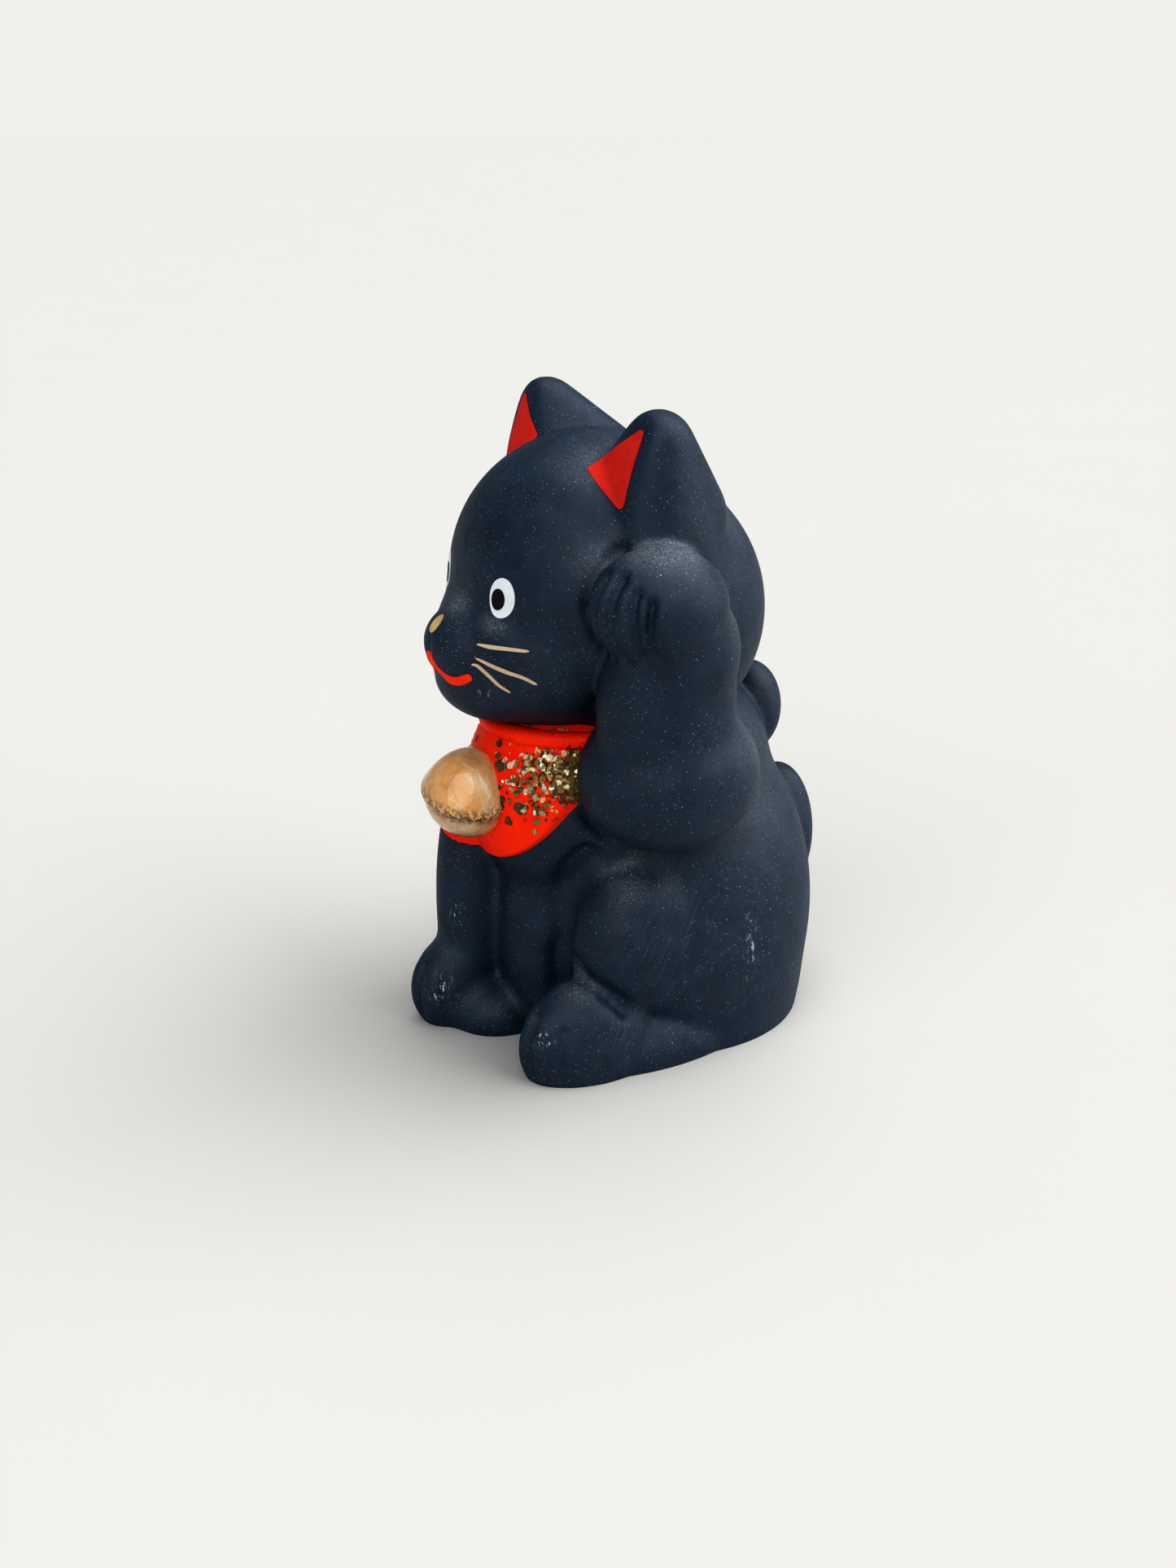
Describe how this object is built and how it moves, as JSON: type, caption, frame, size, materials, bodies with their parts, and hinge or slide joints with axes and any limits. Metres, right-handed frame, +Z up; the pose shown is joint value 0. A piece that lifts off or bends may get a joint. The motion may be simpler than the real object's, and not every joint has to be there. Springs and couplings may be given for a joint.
{
  "type": "beckoning cat figurine",
  "caption": "Small hollow clay cat that sits upright with its left arm raised, with a red bib in relief, a round bell at the chest, a painted face and a flat base.",
  "frame": {"origin": "on the base plane, on the figure's mid plane, below the middle of the neck", "axes": "+Z up, -Y the way the cat faces, +X the cat's left, where the raised arm is"},
  "size_m": [0.0444, 0.0523, 0.0751],
  "materials": {
    "black_clay": "fired clay under a matt blue-black paint, with fine brush marks, white dust specks and pale scuffs",
    "red_relief": "clay relief under satin orange-red paint",
    "red_paint": "thin film of matt orange-red paint",
    "cream_paint": "thin film of matt cream-white paint",
    "black_paint": "thin film of matt blue-black paint",
    "gold_paint": "thin film of pale gold paint",
    "pearl_bell": "amber-gold paint worn to a pearly cream under a clear gloss varnish",
    "gold_leaf": "small crusted flakes of brass leaf, partly tarnished grey-brown"
  },
  "bodies": {
    "root": {"front_half_shell": "black_clay", "back_half_shell": "black_clay", "base_plate": "black_clay", "raised_arm": "black_clay", "tail": "black_clay", "neck_bow": "black_clay", "bib": "red_relief", "collar_band": "red_relief", "bell": "pearl_bell", "gold_flecks": "gold_leaf", "ear_lining_left": "red_paint", "ear_lining_right": "red_paint", "eye_white_left": "cream_paint", "eye_white_right": "cream_paint", "pupil_left": "black_paint", "pupil_right": "black_paint", "nose_dot": "gold_paint", "mouth_line": "red_paint", "whiskers_left": "gold_paint", "whiskers_right": "gold_paint"}
  },
  "joints": []
}
